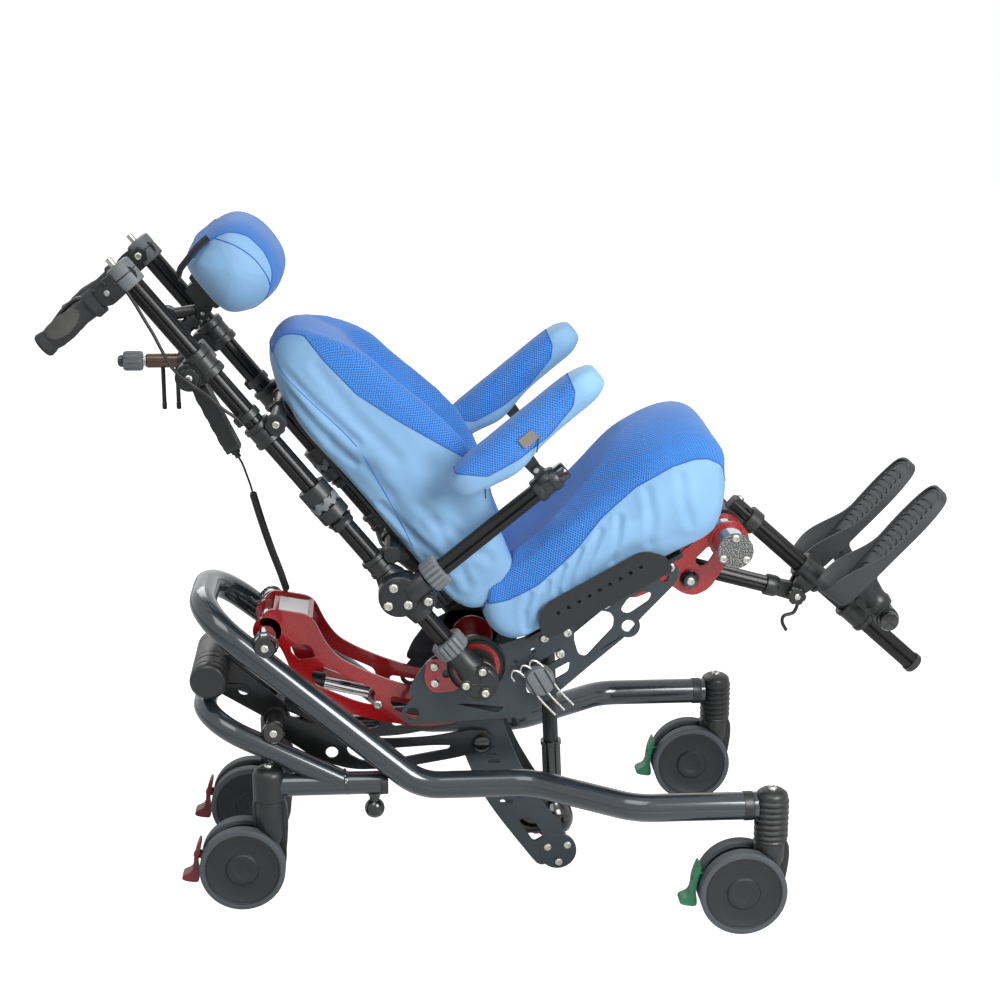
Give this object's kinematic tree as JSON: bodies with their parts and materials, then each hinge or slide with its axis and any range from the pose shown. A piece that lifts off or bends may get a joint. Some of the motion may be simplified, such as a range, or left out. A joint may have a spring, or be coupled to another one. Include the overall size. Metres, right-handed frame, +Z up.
{
  "type": "tilt in space wheelchair",
  "caption": "Multifunctional wheelchair on castors whose cushioned seat rises on a parallel linkage and tilts in space, with reclining back, armrests, headrest and legrest.",
  "frame": {"origin": "on the floor, under the middle of the chair's overall box", "axes": "+X to the front of the chair, +Y to the sitter's left, +Z up"},
  "size_m": [1.2582, 0.526, 0.9825],
  "materials": {
    "grey_lacquer": "dark grey gloss lacquer",
    "black_lacquer": "black satin lacquer",
    "red_lacquer": "red gloss lacquer",
    "grey_plate": "grey metallic lacquer",
    "chrome": "polished",
    "black_plastic": "fine grained",
    "grey_plastic": "fine grained",
    "green_plastic": "moulded",
    "dark_red_plastic": "moulded",
    "tyre_rubber": "smooth tread",
    "grip_rubber": "matt",
    "blue_mesh": "spacer mesh over foam",
    "pale_fabric": "smooth stretch fabric over foam"
  },
  "bodies": {
    "base": {"main_frame": "grey_lacquer", "rear_frame": "grey_lacquer", "upper_pivot_shaft": "chrome", "motor_cradle": "black_lacquer", "pendant_curl": "black_plastic"},
    "lift_arms": {"lift_arms": "red_lacquer"},
    "lower_links": {"lower_link_right": "black_lacquer", "lower_link_left": "black_lacquer"},
    "carrier": {"carrier_lever_right": "grey_plate", "carrier_lever_left": "grey_plate", "carrier_foot": "red_lacquer"},
    "seat": {"seat_plate_right": "grey_plate", "seat_plate_left": "grey_plate", "seat_guard_right": "black_lacquer", "seat_guard_left": "black_lacquer", "leg_hanger": "red_lacquer", "seat_pan": "black_plastic", "plug_box": "grey_plastic", "seat_cushion": "blue_mesh"},
    "lift_motor": {"lift_motor": "black_plastic"},
    "lift_rod": {"lift_rod": "chrome"},
    "tilt_motor": {"tilt_motor": "black_plastic"},
    "tilt_rod": {"tilt_rod": "chrome"},
    "back": {"back_post_right": "black_lacquer", "back_post_left": "black_lacquer", "back_panel": "black_lacquer", "back_cushion": "pale_fabric", "headrest_bracket": "black_lacquer", "handle_cable": "black_plastic"},
    "leg_column": {"leg_column": "black_lacquer"},
    "leg_strut": {"leg_strut": "black_lacquer"},
    "strut_clamp": {"strut_clamp": "black_plastic"},
    "clamp_lever": {"clamp_lever": "black_plastic"},
    "foot_carriage": {"foot_carriage": "black_plastic"},
    "headrest_stem": {"headrest_stem": "black_lacquer"},
    "headrest": {"headrest": "blue_mesh"},
    "headrest_knob": {"headrest_knob": "grey_plastic"},
    "hand_lever": {"hand_lever": "black_plastic"},
    "pendant": {"pendant": "black_plastic", "pendant_cord": "black_plastic"},
    "foot_plate_right": {"foot_plate_right": "grip_rubber"},
    "arm_tube_right": {"arm_tube_right": "black_lacquer"},
    "arm_pad_right": {"arm_pad_right": "blue_mesh"},
    "handle_grip_right": {"handle_grip_right": "grip_rubber"},
    "foot_plate_left": {"foot_plate_left": "grip_rubber"},
    "arm_tube_left": {"arm_tube_left": "black_lacquer"},
    "arm_pad_left": {"arm_pad_left": "blue_mesh"},
    "handle_grip_left": {"handle_grip_left": "grip_rubber"},
    "castor_front_right": {"castor_fork_front_right": "black_plastic"},
    "wheel_front_right": {"castor_wheel_front_right": "tyre_rubber"},
    "pedal_front_right": {"brake_pedal_front_right": "green_plastic"},
    "castor_front_left": {"castor_fork_front_left": "black_plastic"},
    "wheel_front_left": {"castor_wheel_front_left": "tyre_rubber"},
    "pedal_front_left": {"brake_pedal_front_left": "green_plastic"},
    "castor_rear_right": {"castor_fork_rear_right": "black_plastic"},
    "wheel_rear_right": {"castor_wheel_rear_right": "tyre_rubber"},
    "pedal_rear_right": {"brake_pedal_rear_right": "dark_red_plastic"},
    "castor_rear_left": {"castor_fork_rear_left": "black_plastic"},
    "wheel_rear_left": {"castor_wheel_rear_left": "tyre_rubber"},
    "pedal_rear_left": {"brake_pedal_rear_left": "dark_red_plastic"}
  },
  "joints": [
    {"name": "lift", "type": "hinge", "parent": "base", "child": "lift_arms", "pos_m": [-0.34031, 0, 0.389], "axis": [0, -1, 0], "range_deg": [0, 28]},
    {"name": "lower_link_swing", "type": "hinge", "parent": "base", "child": "lower_links", "pos_m": [-0.33181, 0, 0.262], "axis": [0, -1, 0], "range_deg": [0, 28]},
    {"name": "carrier_level", "type": "hinge", "parent": "lift_arms", "child": "carrier", "pos_m": [-0.04281, 0, 0.345], "axis": [0, -1, 0], "range_deg": [-28, 0]},
    {"name": "tilt", "type": "hinge", "parent": "carrier", "child": "seat", "pos_m": [-0.04281, 0, 0.345], "axis": [0, 1, 0], "range_deg": [-3, 32]},
    {"name": "lift_motor_swing", "type": "hinge", "parent": "base", "child": "lift_motor", "pos_m": [-0.42281, 0, 0.33], "axis": [0, -1, 0], "range_deg": [0, 22]},
    {"name": "lift_rod_slide", "type": "slide", "parent": "lift_motor", "child": "lift_rod", "axis": [0.9727, 0, -0.232], "range_m": [0, 0.04]},
    {"name": "tilt_motor_swing", "type": "hinge", "parent": "carrier", "child": "tilt_motor", "pos_m": [0.07919, 0, 0.039], "axis": [0, 1, 0], "range_deg": [-4, 1]},
    {"name": "tilt_rod_slide", "type": "slide", "parent": "tilt_motor", "child": "tilt_rod", "axis": [-0.0424, 0, 0.9991], "range_m": [-0.06, 0.008]},
    {"name": "back_recline", "type": "hinge", "parent": "seat", "child": "back", "pos_m": [-0.03981, 0, 0.336], "axis": [0, 1, 0], "range_deg": [-9, 0]},
    {"name": "legrest_angle", "type": "hinge", "parent": "seat", "child": "leg_column", "pos_m": [0.31801, 0, 0.52031], "axis": [0, -1, 0], "range_deg": [-10, 20]},
    {"name": "leg_strut_swing", "type": "hinge", "parent": "seat", "child": "leg_strut", "pos_m": [0.26235, 0, 0.46515], "axis": [0, -1, 0], "range_deg": [-10, 19]},
    {"name": "strut_clamp_slide", "type": "slide", "parent": "leg_column", "child": "strut_clamp", "axis": [0.7431, 0, -0.6691], "range_m": [-0.026, 0.014]},
    {"name": "clamp_lever_turn", "type": "hinge", "parent": "strut_clamp", "child": "clamp_lever", "pos_m": [0.43023, 0, 0.41927], "axis": [0, -1, 0], "range_deg": [0, 25]},
    {"name": "footrest_length", "type": "slide", "parent": "leg_column", "child": "foot_carriage", "axis": [0.7431, 0, -0.6691], "range_m": [-0.03, 0.085]},
    {"name": "foot_plate_right_fold", "type": "hinge", "parent": "foot_carriage", "child": "foot_plate_right", "pos_m": [0.54484, -0.085, 0.40758], "axis": [0, -1, 0], "range_deg": [0, 60]},
    {"name": "foot_plate_left_fold", "type": "hinge", "parent": "foot_carriage", "child": "foot_plate_left", "pos_m": [0.54484, 0.085, 0.40758], "axis": [0, -1, 0], "range_deg": [0, 60]},
    {"name": "arm_right_raise", "type": "hinge", "parent": "back", "child": "arm_tube_right", "pos_m": [-0.14743, -0.158, 0.46889], "axis": [0, -1, 0], "range_deg": [0, 55]},
    {"name": "arm_pad_right_pitch", "type": "hinge", "parent": "arm_tube_right", "child": "arm_pad_right", "pos_m": [0.03516, -0.158, 0.6502], "axis": [0, -1, 0], "range_deg": [-15, 15]},
    {"name": "arm_left_raise", "type": "hinge", "parent": "back", "child": "arm_tube_left", "pos_m": [-0.14743, 0.158, 0.46889], "axis": [0, -1, 0], "range_deg": [0, 55]},
    {"name": "arm_pad_left_pitch", "type": "hinge", "parent": "arm_tube_left", "child": "arm_pad_left", "pos_m": [0.03516, 0.158, 0.6502], "axis": [0, -1, 0], "range_deg": [-15, 15]},
    {"name": "headrest_height", "type": "slide", "parent": "back", "child": "headrest_stem", "axis": [-0.6293, 0, 0.7771], "range_m": [0, 0.06]},
    {"name": "headrest_pitch", "type": "hinge", "parent": "headrest_stem", "child": "headrest", "pos_m": [-0.41734, 0, 0.84352], "axis": [0, 1, 0], "range_deg": [-20, 8]},
    {"name": "headrest_knob_turn", "type": "hinge", "parent": "back", "child": "headrest_knob", "pos_m": [-0.4938, 0, 0.76855], "axis": [1, 0, 0], "range_deg": [-180, 180]},
    {"name": "handle_right_angle", "type": "hinge", "parent": "back", "child": "handle_grip_right", "pos_m": [-0.53164, -0.121, 0.8925], "axis": [0, -1, 0], "range_deg": [-30, 0]},
    {"name": "handle_left_angle", "type": "hinge", "parent": "back", "child": "handle_grip_left", "pos_m": [-0.53164, 0.121, 0.8925], "axis": [0, -1, 0], "range_deg": [-30, 0]},
    {"name": "hand_lever_squeeze", "type": "hinge", "parent": "handle_grip_right", "child": "hand_lever", "pos_m": [-0.54912, -0.0965, 0.87834], "axis": [0, -1, 0], "range_deg": [0, 12], "stiffness_Nm_per_rad": 0.6},
    {"name": "pendant_swing", "type": "hinge", "parent": "back", "child": "pendant", "pos_m": [-0.43122, -0.07, 0.77566], "axis": [0, -1, 0], "range_deg": [0, 15]},
    {"name": "castor_swivel_front_right", "type": "hinge", "parent": "base", "child": "castor_front_right", "pos_m": [0.36069, -0.234, 0.131], "axis": [0, 0, 1], "continuous": true},
    {"name": "castor_spin_front_right", "type": "hinge", "parent": "castor_front_right", "child": "wheel_front_right", "pos_m": [0.32069, -0.234, 0.0613], "axis": [0, 1, 0], "continuous": true},
    {"name": "brake_pedal_front_right_press", "type": "hinge", "parent": "castor_front_right", "child": "pedal_front_right", "pos_m": [0.29069, -0.234, 0.0763], "axis": [0, -1, 0], "range_deg": [0, 7]},
    {"name": "castor_swivel_front_left", "type": "hinge", "parent": "base", "child": "castor_front_left", "pos_m": [0.36069, 0.234, 0.131], "axis": [0, 0, 1], "continuous": true},
    {"name": "castor_spin_front_left", "type": "hinge", "parent": "castor_front_left", "child": "wheel_front_left", "pos_m": [0.32069, 0.234, 0.0613], "axis": [0, 1, 0], "continuous": true},
    {"name": "brake_pedal_front_left_press", "type": "hinge", "parent": "castor_front_left", "child": "pedal_front_left", "pos_m": [0.29069, 0.234, 0.0763], "axis": [0, -1, 0], "range_deg": [0, 7]},
    {"name": "castor_swivel_rear_right", "type": "hinge", "parent": "base", "child": "castor_rear_right", "pos_m": [-0.34081, -0.113, 0.159], "axis": [0, 0, 1], "continuous": true},
    {"name": "castor_spin_rear_right", "type": "hinge", "parent": "castor_rear_right", "child": "wheel_rear_right", "pos_m": [-0.38081, -0.113, 0.0613], "axis": [0, 1, 0], "continuous": true},
    {"name": "brake_pedal_rear_right_press", "type": "hinge", "parent": "castor_rear_right", "child": "pedal_rear_right", "pos_m": [-0.41081, -0.113, 0.0763], "axis": [0, -1, 0], "range_deg": [0, 7]},
    {"name": "castor_swivel_rear_left", "type": "hinge", "parent": "base", "child": "castor_rear_left", "pos_m": [-0.34081, 0.113, 0.159], "axis": [0, 0, 1], "continuous": true},
    {"name": "castor_spin_rear_left", "type": "hinge", "parent": "castor_rear_left", "child": "wheel_rear_left", "pos_m": [-0.38081, 0.113, 0.0613], "axis": [0, 1, 0], "continuous": true},
    {"name": "brake_pedal_rear_left_press", "type": "hinge", "parent": "castor_rear_left", "child": "pedal_rear_left", "pos_m": [-0.41081, 0.113, 0.0763], "axis": [0, -1, 0], "range_deg": [0, 7]}
  ],
  "couplings": [
    {"joint": "lower_link_swing", "follows": "lift", "ratio": 1},
    {"joint": "carrier_level", "follows": "lift", "ratio": -1},
    {"joint": "lift_motor_swing", "follows": "lift", "ratio": 0.706},
    {"joint": "lift_rod_slide", "follows": "lift", "m_per_rad": 0.0661},
    {"joint": "tilt_motor_swing", "follows": "tilt", "ratio": -0.1115},
    {"joint": "tilt_rod_slide", "follows": "tilt", "m_per_rad": -0.1018},
    {"joint": "leg_strut_swing", "follows": "legrest_angle", "ratio": 0.917},
    {"joint": "strut_clamp_slide", "follows": "legrest_angle", "m_per_rad": -0.0706}
  ]
}
